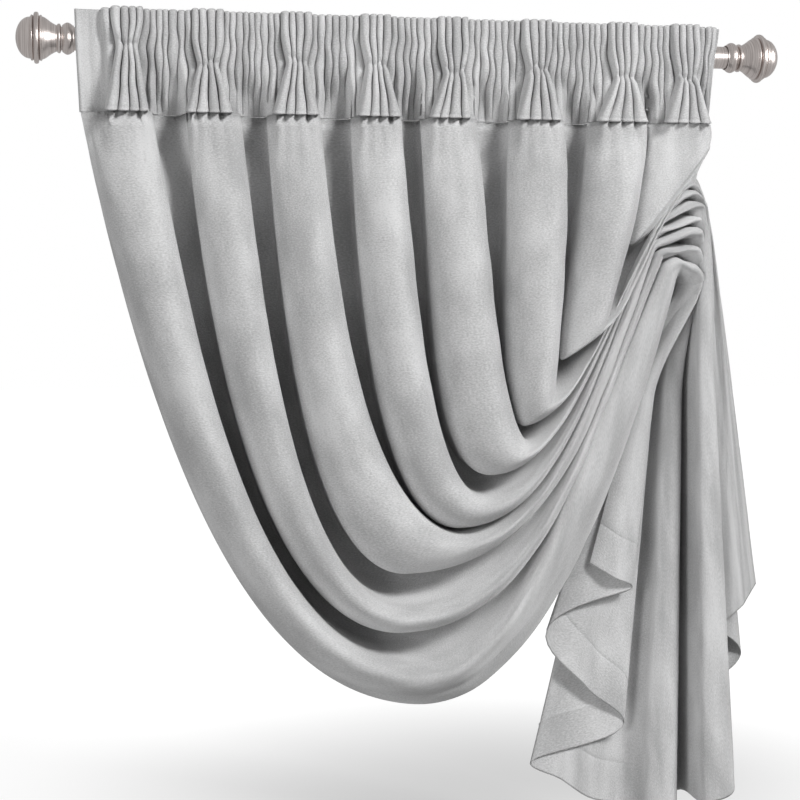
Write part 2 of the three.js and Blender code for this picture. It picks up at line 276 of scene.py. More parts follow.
@dataclass(frozen=True)
class FloorFinish:
    """Pale floor that glows evenly further off, with a painted soft shadow where its glow dims round the
    middle. Lengths are metres.
    """

    name: str = "pale_floor"
    dark: tuple[float, float, float] = (0.27, 0.27, 0.27)
    light: tuple[float, float, float] = (0.29, 0.29, 0.29)
    # Painted shadow: the glow is dimmest at the middle and rises to far_glow at the reach, standing in for
    # the cloth's soft shadow on the floor.
    painted_shadow_glow: float = 0.42
    far_glow: float = 0.90
    middle: tuple[float, float, float] = (0.25, 0.46, -0.96)
    reach: float = 0.8
    cloud_per_metre: float = 2.0
    roughness: float = 0.85
    specular: float = 0.2

    def material(self) -> bpy.types.Material:
        """Returns the floor's material, brighter away from the cloth: a painted soft shadow dims its glow
        round the middle.
        """
        bench = NodeBench(self.name)
        place = bench.add("ShaderNodeTexCoord")
        cloud = bench.add("ShaderNodeTexNoise", Scale=self.cloud_per_metre, Detail=2.0)
        bench.join(place.outputs["Object"], cloud.inputs["Vector"])
        tone = bench.ramp(cloud.outputs["Fac"], ((0.3, self.dark), (0.7, self.light)))
        bench.join(tone.outputs["Color"], bench.shader.inputs["Base Color"])
        # Painted shadow: the emission is dimmed by nearness to the middle point behind the cloth.
        away = bench.add("ShaderNodeVectorMath", operation="DISTANCE")
        away.inputs[1].default_value = self.middle
        bench.join(place.outputs["Object"], away.inputs[0])
        glow = bench.add("ShaderNodeMapRange", interpolation_type="SMOOTHSTEP", From_Max=self.reach,
                         To_Min=self.painted_shadow_glow, To_Max=self.far_glow)
        bench.join(away.outputs["Value"], glow.inputs["Value"])
        bench.join(glow.outputs["Result"], bench.shader.inputs["Emission Strength"])
        bench.shade(Roughness=self.roughness, Specular_IOR_Level=self.specular,
                    Emission_Color=(1.0, 1.0, 1.0, 1.0))
        return bench.material


@dataclass
class ClothSheet:
    """A closed sheet of cloth about a grid of middle points, with round edges. Sizes are metres."""

    name: str
    grid: np.ndarray
    thickness: float
    level_rows: tuple[int, ...] = ()
    rim_steps: int = 3

    def normals(self) -> np.ndarray:
        """Returns the front-facing normal at each middle point."""
        across = np.gradient(self.grid, axis=0)
        along = np.gradient(self.grid, axis=1)
        normal = np.cross(along, across)
        for row in self.level_rows:
            normal[:, row, 2] = 0.0
        return unit(normal)

    def rim(self) -> list[tuple[int, int]]:
        """Returns the grid places round the sheet's edge, in order."""
        wide, long = self.grid.shape[:2]
        last_i, last_j = wide - 1, long - 1
        return ([(i, 0) for i in range(last_i)] + [(last_i, j) for j in range(last_j)]
                + [(i, last_j) for i in range(last_i, 0, -1)] + [(0, j) for j in range(last_j, 0, -1)])

    def outward(self, places: list[tuple[int, int]], normal: np.ndarray) -> np.ndarray:
        """Returns the way out of the sheet at each edge place.

        Args:
            places: the edge places in order.
            normal: the normals of the whole grid.

        Returns:
            One unit vector for each place.
        """
        edge = np.array([self.grid[i, j] for i, j in places])
        along = np.roll(edge, -1, axis=0) - np.roll(edge, 1, axis=0)
        facing = np.array([normal[i, j] for i, j in places])
        return unit(np.cross(along, facing))

    def build(self) -> bpy.types.Object:
        """Makes the sheet's mesh.

        Returns:
            The object, at the origin, with a UV map in metres.
        """
        wide, long = self.grid.shape[:2]
        normal = self.normals()
        half = self.thickness / 2
        front = (self.grid + normal * half).reshape(-1, 3)
        back = (self.grid - normal * half).reshape(-1, 3)
        places = self.rim()
        out = self.outward(places, normal)
        middle = np.array([self.grid[i, j] for i, j in places])
        facing = np.array([normal[i, j] for i, j in places])
        loops = []
        for step in range(1, self.rim_steps + 1):
            angle = math.pi * step / (self.rim_steps + 1)
            loops.append(middle + facing * half * math.cos(angle) + out * half * math.sin(angle))
        points = np.concatenate([front, back, *loops])
        index = np.arange(wide * long).reshape(wide, long)
        corners = np.stack([index[:-1, :-1], index[:-1, 1:], index[1:, 1:], index[1:, :-1]], axis=-1)
        corners = corners.reshape(-1, 4)
        faces = [corners, corners[:, ::-1] + wide * long]
        ring = np.array([index[i, j] for i, j in places])
        levels = [ring]
        for step in range(self.rim_steps):
            levels.append(np.arange(len(places)) + 2 * wide * long + step * len(places))
        levels.append(ring + wide * long)
        for upper, lower in zip(levels[:-1], levels[1:]):
            faces.append(np.stack([upper, np.roll(upper, -1), np.roll(lower, -1), lower], axis=-1))
        quads = np.concatenate(faces)
        mesh = bpy.data.meshes.new(self.name)
        mesh.from_pydata(points.tolist(), [], quads.tolist())
        self.lay_uv(mesh, places)
        mesh.polygons.foreach_set("use_smooth", [True] * len(mesh.polygons))
        mesh.update()
        return linked(self.name, mesh)

    def lay_uv(self, mesh: bpy.types.Mesh, places: list[tuple[int, int]]) -> None:
        """Gives the mesh a UV map whose units are metres of flat cloth.

        Args:
            mesh: the sheet's mesh.
            places: the edge places in order.
        """
        step_across = np.linalg.norm(np.diff(self.grid, axis=0, prepend=self.grid[:1]), axis=-1)
        step_along = np.linalg.norm(np.diff(self.grid, axis=1, prepend=self.grid[:, :1]), axis=-1)
        wide = np.cumsum(step_across.mean(axis=1))
        long = np.cumsum(step_along, axis=1)
        flat = np.stack([np.repeat(wide[:, None], long.shape[1], axis=1), -long], axis=-1).reshape(-1, 2)
        edge = np.array([flat[i * long.shape[1] + j] for i, j in places])
        each = np.concatenate([flat, flat] + [edge] * self.rim_steps)
        corner = np.empty(len(mesh.loops), dtype=np.int32)
        mesh.loops.foreach_get("vertex_index", corner)
        layer = mesh.uv_layers.new(name="cloth")
        layer.data.foreach_set("uv", each[corner].ravel())

    def flat_area(self) -> float:
        """Returns the area of the middle surface in square metres."""
        across = np.diff(self.grid, axis=0)[:, :-1]
        along = np.diff(self.grid, axis=1)[:-1]
        return float(np.linalg.norm(np.cross(across, along), axis=-1).sum())


@dataclass(frozen=True)
class SwagLine:
    """A line that shows on the swag, in millimetres: heading, belly and waist.

    The tuck is how much of the full depth the valley beside a crest keeps near the gather.
    """

    kind: LineKind
    top_x: float
    lean: float
    belly_x: float
    belly_z: float
    turn: float
    inward: float
    outward: float
    waist_x: float
    waist_z: float
    rise_x: float
    tuck: float


@dataclass(frozen=True)
class FoldDepth:
    """How far the lines stand from the rod's axis at one share of the swag, in millimetres.

    The last two are how far a fold swells past its lines and how far a valley's floor sinks back.
    """

    share: float
    leading: float
    edge: float
    crest: float
    valley: float
    right: float
    swell: float
    sink: float


@dataclass(frozen=True)
class GatherFold:
    """Where one line turns in at the gather, in millimetres, and the way it leaves, in degrees."""

    line: int
    x: float
    y: float
    z: float
    leave: float


@dataclass(frozen=True)
class TailPleat:
    """Where one line across the cloth hangs in the tail, in millimetres."""

    line: int
    shoulder_x: float
    shoulder_y: float
    hem_x: float
    hem_y: float
    hem_z: float


def swag_lines() -> list[SwagLine]:
    """Returns the lines that show, from the leading edge to the right-hand edge."""
    kinds = LineKind
    rows = (
        (kinds.LEADING, -368, 0.20, 10, -741, 0, 190, 138, 301, -260, 50, 0),
        (kinds.EDGE, -361, 0.20, 0, -728, 0, 185, 124, 297, -262, 58, 0),
        (kinds.CREST, -297, 0.15, 6, -698, 0, 160, 120, 285, -250, 100, 1),
        (kinds.EDGE, -254, 0.08, -20, -656, 0, 130, 172, 280, -242, 82, 0),
        (kinds.CREST, -200, 0.08, -10, -634, 0, 105, 152, 274, -238, 76, 0.4),
        (kinds.EDGE, -165, 0.05, -15, -590, 0, 90, 174, 270, -234, 56, 0),
        (kinds.CREST, -112, 0.06, 55, -552, 5, 100, 104, 267, -230, 66, 0.2),
        (kinds.EDGE, -71, 0.02, 45, -540, 0, 75, 118, 265, -225, 66, 0),
        (kinds.CREST, -21, 0.05, 75, -512, 5, 55, 85, 265, -219, 60, 0.4),
        (kinds.EDGE, 8, 0.05, 82, -481, 0, 62, 82, 267, -213, 58, 0),
        (kinds.CREST, 65, 0.06, 124, -451, 10, 30, 38, 270, -207, 55, 0.5),
        (kinds.EDGE, 110, -0.03, 122, -426, 5, 26, 52, 275, -200, 58, 0),
        (kinds.CREST, 168, 0.01, 152, -396, 10, 6, 34, 280, -193, 56, 0.6),
        (kinds.EDGE, 203, -0.08, 165, -352, 22, 8, 50, 287, -184, 42, 0),
        (kinds.CREST, 265, -0.10, 214, -308, 30, 10, 35, 294, -176, 40, 0.7),
        (kinds.EDGE, 276, -0.15, 247, -221, 35, 12, 25, 305, -166, 18, 0),
        (kinds.RIGHT, 346, 0.00, 341, -108, -95, 10, 8, 323, -147, -3, 0),
    )
    return [SwagLine(*row) for row in rows]


def fold_depths() -> list[FoldDepth]:
    """Returns the folds' depths, station by station along the swag."""
    rows = (
        (0.00, -18, -20, -34, -4, -28, 1, 3),
        (0.05, -18, -28, -46, 2, -29, 10, 8),
        (0.14, -19, -36, -57, 7, -31, 15, 13),
        (0.25, -20, -40, -62, 8, -36, 15, 13),
        (0.40, -29, -48, -68, 0, -40, 12, 10),
        (0.50, -36, -54, -70, -14, -44, 8, 5),
        (0.65, -34, -55, -70, -28, -45, 4, 0),
        (0.80, -32, -56, -65, -37, -46, 3, 0),
        (1.00, -36, -54, -61, -41, -48, 1, 0),
    )
    return [FoldDepth(*row) for row in rows]


def gather_folds() -> list[GatherFold]:
    """Returns where the lines turn in at the stack of folds, lowest line first."""
    rows = (
        (0, 309, -30, -270, -72),
        (1, 315, -42, -266, -60),
        (2, 322, -63, -250, -35),
        (3, 309, -38, -240, -35),
        (4, 311, -46, -235, -15),
        (5, 319, -60, -226, 0),
        (6, 305, -32, -219, 0),
        (7, 309, -44, -214, 0),
        (8, 321, -64, -207, 5),
        (9, 306, -38, -201, 0),
        (11, 323, -60, -193, 5),
        (12, 308, -40, -186, 0),
        (14, 325, -62, -177, 0),
        (15, 312, -42, -170, -5),
        (17, 322, -58, -163, -15),
        (18, 315, -46, -159, -25),
        (20, 323, -56, -155, -35),
        (21, 319, -48, -153, -45),
        (23, 326, -46, -149, -55),
    )
    return [GatherFold(*row) for row in rows]


def tail_pleats() -> list[TailPleat]:
    """Returns the tail's pleat lines, left to right."""
    rows = (
        (0, 258, -22, 206, -24, -588),
        (1, 268, -28, 232, -34, -604),
        (2, 281, -22, 255, -26, -619),
        (3, 250, -14, 159, -13, -664),
        (4, 268, -11, 207, -12, -735),
        (5, 285, -7, 251, -6, -785),
        (6, 246, 0, 146, 5, -822),
        (8, 275, 1, 215, 3, -868),
        (9, 289, 12, 258, 14, -880),
        (10, 299, -12, 280, -14, -882),
        (11, 317, -18, 312, -20, -883),
        (12, 327, 16, 329, 20, -868),
        (13, 328, -49, 338, -46, -866),
        (14, 347, -51, 375, -46, -851),
        (15, 350, -16, 360, -6, -745),
        (16, 365, -8, 397, -6, -703),
        (17, 352, -34, 356, -33, -668),
        (20, 368, -38, 386, -38, -640),
        (23, 379, -24, 408, -24, -616),
    )
    return [TailPleat(*row) for row in rows]


def column(rows: Sequence[object], key: str, value: float | np.ndarray, name: str) -> float | np.ndarray:
    """Returns one column of a table read straight between its rows.

    Args:
        rows: the table.
        key: the column that places the rows.
        value: where to read, one place or many.
        name: the column to read.

    Returns:
        The value or values there.
    """
    places = [getattr(row, key) for row in rows]
    return np.interp(value, places, [getattr(row, name) for row in rows])


@dataclass(frozen=True)
class Cluster:
    """One pinched cluster of fingers, in millimetres."""

    left: float
    right: float
    pinch_x: float
    pinch_z: float


def clusters() -> list[Cluster]:
    """Returns the clusters, left to right."""
    rows = (
        (-342, -296, -318, -10),
        (-255, -205, -230, -30),
        (-160, -110, -132, -24),
        (-66, -18, -43, -24),
        (15, 61, 45, -32),
        (115, 166, 142, -26),
        (208, 268, 244, -32),
        (288, 343, 318, -32),
    )
    return [Cluster(*row) for row in rows]


LineEntry = tuple[LineKind, SwagLine, SwagLine | None]


@dataclass
class CurtainPanel:
    """The velvet panel: swags, gather and tail in one sheet. Sizes are millimetres.

    The hem's places are heights above its seam. The calm is how strong the ripples are, place by
    place along the swag and then in the tail.
    """

    name: str = "velvet_panel"
    node: str = "curtain_panel"
    thickness: float = 1.6
    cut_top: float = 1210.0
    cut_left: float = 1760.0
    cut_right: float = 570.0
    top: float = -82.3
    fall_share: float = 0.58
    rise_share: float = 0.45
    valley_left: float = 0.26
    valley_right: float = 0.82
    valley_moves: tuple[float, float] = (0.25, 0.6)
    tuck_fades: tuple[float, float] = (0.5, 0.7)
    knot_handle: float = 12.0
    shoulder_z: float = -400.0
    turn_share: float = 0.4
    hem_depth: float = 48.0
    hem_places: tuple[float, ...] = (8.0, 3.0, 1.3, 0.0, -1.3, -3.0, -16.0, -32.0, -42.0, -45.5, -48.0)
    seam_width: float = 1.6
    seam_groove: float = 0.9
    seam_lines: int = 9
    crease_run: float = 52.0
    crease_depth: float = 5.4
    crease_lean: float = 0.08
    crease_drift: float = 0.06
    crease_width: float = 3.2
    crease_spread: float = 0.06
    crease_faint: float = 0.7
    fan_run: float = 42.0
    fan_shoulder: float = 16.0
    fan_depth: float = -46.0
    fan_fingers: int = 4
    crumple: float = 1.8
    crumpled_from: int = 2
    smooth_last: int = 4
    knot_waves: float = 7.0
    drop_waves: float = 16.0
    drop_fade: float = 3.0
    unevenness: float = 1.3
    tail_calm: float = 0.22
    ripple_waves: int = 8
    ripple_lengths: tuple[float, float] = (60, 260)
    ripple_widths: tuple[float, float] = (1.3, 5.0)
    calm_places: tuple[float, ...] = (0.0, 0.06, 0.5, 0.8, 1.0)
    calm_values: tuple[float, ...] = (0.0, 1.0, 1.0, 0.6, 0.3)
    overhang: float = 4.0
    narrowest: float = 12.0
    floor_laid: float = 0.8
    floor_rises: float = 0.6
    full_sink: float = 4.0
    fall_steps: int = 60
    rise_steps: int = 50
    knot_steps: int = 12
    drop_steps: int = 30
    tail_steps: int = 20
    across_steps: int = 8
    fold_steps: int = 16
    seed: int = 11
    lines: list[SwagLine] = field(default_factory=swag_lines)
    depths: list[FoldDepth] = field(default_factory=fold_depths)
    gather: list[GatherFold] = field(default_factory=gather_folds)
    pleats: list[TailPleat] = field(default_factory=tail_pleats)
    fans: list[Cluster] = field(default_factory=clusters)

    def shown(self, line: SwagLine, share: float) -> np.ndarray:
        """Returns a shown line's x and z.

        Args:
            line: the line.
            share: how far it is from the heading to the waist.

        Returns:
            Its x and z.
        """
        turn = math.radians(line.turn)
        along = np.array([math.cos(turn), math.sin(turn)])
        top = np.array([line.top_x, self.top])
        belly = np.array([line.belly_x, line.belly_z])
        waist = np.array([line.waist_x, line.waist_z])
        if share <= 0.5:
            fall = np.array([line.lean, -1.0]) * (self.top - line.belly_z) * self.fall_share
            return bezier((top, top + fall, belly - along * line.inward, belly), share * 2)
        rise = np.array([line.rise_x, (line.waist_z - line.belly_z) * self.rise_share])
        return bezier((belly, belly + along * line.outward, waist - rise, waist), share * 2 - 1)

    def entries(self) -> list[LineEntry]:
        """Returns every line across the cloth, with a valley after each crest."""
        found: list[LineEntry] = []
        for place, line in enumerate(self.lines):
            found.append((line.kind, line, None))
            if line.kind is LineKind.CREST:
                found.append((LineKind.VALLEY, line, self.lines[place + 1]))
        return found

    def swag_point(self, entry: LineEntry, share: float) -> np.ndarray:
        """Returns a line's point on the swag.

        Args:
            entry: the line's kind, the line, and the next one where it is a valley.
            share: how far from the heading to the waist.

        Returns:
            The point.
        """
        kind, line, following = entry
        flat = self.shown(line, share)
        depth = column(self.depths, "share", share, kind.value)
        if following is not None:
            move = lerp(self.valley_left, self.valley_right, smooth(*self.valley_moves, share))
            flat = flat + (self.shown(following, share) - flat) * move
            kept = lerp(1.0, line.tuck, smooth(*self.tuck_fades, share))
            depth = lerp(column(self.depths, "share", share, LineKind.EDGE.value), depth, kept)
        return np.array([flat[0], depth, flat[1]])

    def tail_shares(self, length: float) -> np.ndarray:
        """Returns the places of the points down the tail, closer together at the hem's seam.

        Args:
            length: the line's length from the shoulder to the hem.

        Returns:
            The places, from 0 at the shoulder to 1 at the hem.
        """
        last = 1.0 - (self.hem_depth + np.array(self.hem_places)) / length
        return np.concatenate([np.linspace(0.0, last[0], self.tail_steps, endpoint=False), last])

    def path(self, number: int, entry: LineEntry) -> np.ndarray:
        """Returns the middle of the cloth along one line, from the heading to the hem.

        Args:
            number: the line's number across the cloth.
            entry: the line.

        Returns:
            Its points.
        """
        points = [self.swag_point(entry, 0.5 * j / self.fall_steps) for j in range(self.fall_steps)]
        points += [self.swag_point(entry, 0.5 + 0.5 * j / self.rise_steps) for j in range(self.rise_steps)]
        waist = self.swag_point(entry, 1.0)
        arriving = unit(waist - self.swag_point(entry, 0.98))
        knot = np.array([column(self.gather, "line", number, axis) for axis in ("x", "y", "z")])
        turn = math.radians(column(self.gather, "line", number, "leave"))
        leaving = np.array([math.cos(turn), 0.0, math.sin(turn)])
        stretch = (waist, waist + arriving * self.knot_handle, knot - leaving * self.knot_handle, knot)
        rng = np.random.default_rng(self.seed + number)
        phase = rng.uniform(0.0, 2 * math.pi, 3)
        crumpled = self.crumpled_from <= number < self.pleats[-1].line - self.smooth_last
        wrinkle = self.crumple if crumpled else 0.0
        for j in range(self.knot_steps):
            share = j / self.knot_steps
            crush = wrinkle * math.sin(math.pi * share) * np.sin(self.knot_waves * share + phase)
            points.append(bezier(stretch, share) + crush)
        shoulder = np.array([column(self.pleats, "line", number, "shoulder_x"),
                             column(self.pleats, "line", number, "shoulder_y"), self.shoulder_z])
        hem = np.array([column(self.pleats, "line", number, name) for name in ("hem_x", "hem_y", "hem_z")])
        down = unit(hem - shoulder)
        reach = self.knot_handle + self.turn_share * abs(shoulder[1] - knot[1])
        drop = (knot, knot + leaving * reach,
                shoulder + down * self.turn_share * (self.shoulder_z - knot[2]), shoulder)
        for j in range(self.drop_steps):
            share = j / self.drop_steps
            strength = wrinkle * math.sin(math.pi * min(share * self.drop_fade, 1.0))
            crush = strength * np.sin(self.drop_waves * share + phase)
            points.append(bezier(drop, share) + crush)
        length = float(np.linalg.norm(hem - shoulder))
        points += [shoulder + (hem - shoulder) * share for share in self.tail_shares(length)]
        return np.array(points)

    def shares(self) -> np.ndarray:
        """Returns the swag share of each point along a line, 2 past the waist."""
        fall = 0.5 * np.arange(self.fall_steps) / self.fall_steps
        rise = 0.5 + 0.5 * np.arange(self.rise_steps) / self.rise_steps
        rest = np.full(self.knot_steps + self.drop_steps + self.tail_steps + len(self.hem_places), 2.0)
        return np.concatenate([fall, rise, rest])

    @staticmethod
    def slope(before: np.ndarray, here: np.ndarray, after: np.ndarray) -> np.ndarray:
        """Returns the way through the middle points, no longer than the way to the nearer neighbour.

        Args:
            before: the points of the line before.
            here: the points of the line itself.
            after: the points of the line after.

        Returns:
            One vector for each point.
        """
        reach = np.minimum(np.linalg.norm(here - before, axis=1), np.linalg.norm(after - here, axis=1))
        return unit(after - before) * reach[:, None]

    def across(self, paths: list[np.ndarray], cell: int, share: float) -> np.ndarray:
        """Returns the points between two lines, on a curve that never swings past its neighbours.

        Args:
            paths: every line's points.
            cell: the first line's number.
            share: how far towards the next line.

        Returns:
            One point for each point of the lines.
        """
        before = paths[max(cell - 1, 0)]
        start, end = paths[cell], paths[cell + 1]
        after = paths[min(cell + 2, len(paths) - 1)]
        first = self.slope(before, start, end)
        second = self.slope(start, end, after)
        return bezier((start, start + first / 3, end - second / 3, end), share)

    def floor(self, points: np.ndarray, ends: tuple[np.ndarray, np.ndarray], share: float,
              sink: np.ndarray) -> np.ndarray:
        """Lays a valley's floor flat and back, and tucks it under the fold beside it.

        Args:
            points: the points between the valley and the fold's edge.
            ends: the valley's and the edge's points.
            share: how far towards the edge.
            sink: how far the floor sinks, for each point; 0 leaves it as it is.

        Returns:
            The floor's points.
        """
        start, end = ends
        width = np.linalg.norm((end - start)[:, (0, 2)], axis=1)
        tuck = 1.0 + self.overhang / np.maximum(width, self.narrowest)
        laid_to = self.floor_laid
        if share < laid_to:
            way = tuck * math.sin(math.pi / 2 * share / laid_to)
        else:
            way = 1.0 + (tuck - 1.0) * math.cos(math.pi / 2 * (share - laid_to) / (1.0 - laid_to))
        rise = max((share - self.floor_rises) / (1.0 - self.floor_rises), 0.0) ** 2
        laid = start + (end - start) * np.broadcast_to(way, width.shape)[:, None]
        laid[:, 1] = start[:, 1] + (end[:, 1] - start[:, 1]) * rise + sink * math.sin(math.pi * share) * 0.5
        weight = np.clip(sink / self.full_sink, 0.0, 1.0)[:, None]
        return points + (laid - points) * weight

    def pressed(self, points: np.ndarray) -> np.ndarray:
        """Brings the cloth forward behind each fan and creases it below the fingers' seams.

        Args:
            points: points down the cloth.

        Returns:
            The same points, moved.
        """
        drop = self.top - points[:, 2]
        below = np.maximum(drop, 0.0)
        fading = np.exp(-((below / self.crease_run) ** 1.5))
        near = np.where(drop < self.crease_run * 3.0, fading, 0.0)
        hold = np.exp(-((below / self.fan_run) ** 2))
        forward = np.minimum(self.fan_depth - points[:, 1], 0.0)
        moved = points.copy()
        for cluster in self.fans:
            inside = np.minimum(points[:, 0] - cluster.left, cluster.right - points[:, 0])
            covered = np.clip(inside / self.fan_shoulder + 0.6, 0.0, 1.0) ** 2
            moved[:, 1] += forward * covered * hold
            pitch = (cluster.right - cluster.left) / self.fan_fingers
            for seam in range(1, self.fan_fingers):
                lean = self.crease_lean * (seam - self.fan_fingers / 2) + self.crease_drift
                middle = cluster.left + pitch * seam + lean * drop
                width = self.crease_width + self.crease_spread * below
                deep = self.crease_depth * (1.0 if seam % 2 else self.crease_faint)
                moved[:, 1] += deep * near * np.exp(-(((points[:, 0] - middle) / width) ** 2))
        return moved

    def ripples(self, run: np.ndarray, line: float, calm: np.ndarray) -> np.ndarray:
        """Returns the cloth's soft unevenness.

        Args:
            run: each point's length from the heading.
            line: the place across the cloth, in lines.
            calm: how strong it is at each point, from 0 to 1.

        Returns:
            How far each point moves towards the wall.
        """
        rng = np.random.default_rng(self.seed)
        count = self.ripple_waves
        waves = zip(rng.uniform(*self.ripple_lengths, count), rng.uniform(*self.ripple_widths, count),
                    rng.uniform(0, 2 * math.pi, count))
        moved = [np.sin(2 * math.pi * (run / long + line / wide) + phase) for long, wide, phase in waves]
        return np.sum(moved, axis=0) / math.sqrt(len(moved)) * self.unevenness * calm

    def middle(self) -> np.ndarray:
        """Returns the grid of the cloth's middle points, in millimetres."""
        entries = self.entries()
        paths = [self.path(number, entry) for number, entry in enumerate(entries)]
        shares = self.shares()
        swagged = shares <= 1.0
        swell = np.where(swagged, column(self.depths, "share", shares, "swell"), 0.0)
        sink = np.where(swagged, column(self.depths, "share", shares, "sink"), 0.0)
        along_swag = np.interp(shares, self.calm_places, self.calm_values)
        calm = np.where(swagged, along_swag, self.tail_calm)
        rows = []
        for cell in range(len(paths) - 1):
            kinds = (entries[cell][0], entries[cell + 1][0])
            run = np.cumsum(np.linalg.norm(np.diff(paths[cell], axis=0, prepend=paths[cell][:1]), axis=1))
            steps = self.cell_steps(kinds[0])
            for step in range(steps):
                share = step / steps
                points = self.across(paths, cell, share)
                if kinds[0] is LineKind.VALLEY:
                    points = self.floor(points, (paths[cell], paths[cell + 1]), share, sink)
                if kinds[0] is LineKind.EDGE:
                    points[:, 1] -= swell * (1.0 - abs(1.0 - 2.0 * share) ** 3)
                points[:, 1] += self.ripples(run, cell + share, calm)
                rows.append(self.pressed(points))
        rows.append(paths[-1])
        return self.seamed(np.array(rows))

    def cell_steps(self, kind: LineKind) -> int:
        """Returns how many points lie between a line of this kind and the next one."""
        return self.fold_steps if kind is LineKind.EDGE else self.across_steps

    def seamed(self, grid: np.ndarray) -> np.ndarray:
        """Presses the hem's seam into the cloth.

        Args:
            grid: the middle points.

        Returns:
            The same points with a shallow groove along the hem.
        """
        rest = np.linalg.norm(grid - grid[:, -1:], axis=-1)
        groove = np.exp(-(((rest - self.hem_depth) / self.seam_width) ** 2))
        groove[:, : self.fall_steps + self.rise_steps + self.knot_steps + self.drop_steps] = 0.0
        groove[sum(self.cell_steps(entry[0]) for entry in self.entries()[: self.seam_lines]) :] = 0.0
        across = np.gradient(grid, axis=0)
        along = np.gradient(grid, axis=1)
        return grid - unit(np.cross(along, across)) * groove[..., None] * self.seam_groove

    def build(self, grid: np.ndarray, finish: bpy.types.Material) -> bpy.types.Object:
        """Args:
            grid: its middle points, in millimetres.
            finish: the velvet.

        Returns:
            The panel.
        """
        sheet = ClothSheet(self.name, grid * MM, self.thickness * MM, level_rows=(0,))
        piece = sheet.build()
        piece.data.materials.append(finish)
        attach(piece, Body.ROOT.value)
        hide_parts(self.node)
        LOG.info("%s: %.3f square metres of cloth", self.name, sheet.flat_area())
        return piece


@dataclass(frozen=True)
class HeadingLevel:
    """The heading at one height, in millimetres: its sides and how far its pleats stand out."""

    z: float
    left: float
    right: float
    finger_crest: float
    finger_valley: float
    gather_depth: float
    sway: float


def heading_levels() -> list[HeadingLevel]:
    """Returns the heading's levels from its top down."""
    rows = (
        (30, -374.0, 361.0, -28, -18, 8.0, 0.0),
        (18, -373.6, 359.5, -30, -18, 9.0, 0.4),
        (8, -373.3, 358.0, -32, -19, 8.5, 1.0),
        (-3, -373.0, 356.0, -33, -20, 8.5, 1.3),
        (-15, -372.5, 354.5, -34, -21, 9.5, 1.1),
        (-27, -372.0, 353.0, -36, -22, 10.0, 0.9),
        (-54, -370.5, 350.5, -42, -28, 8.5, 0.7),
        (-74, -369.5, 348.7, -45, -38, 5.0, 0.4),
        (-82, -369.0, 348.0, -46, -42, 2.0, 0.4),
    )
    return [HeadingLevel(*row) for row in rows]


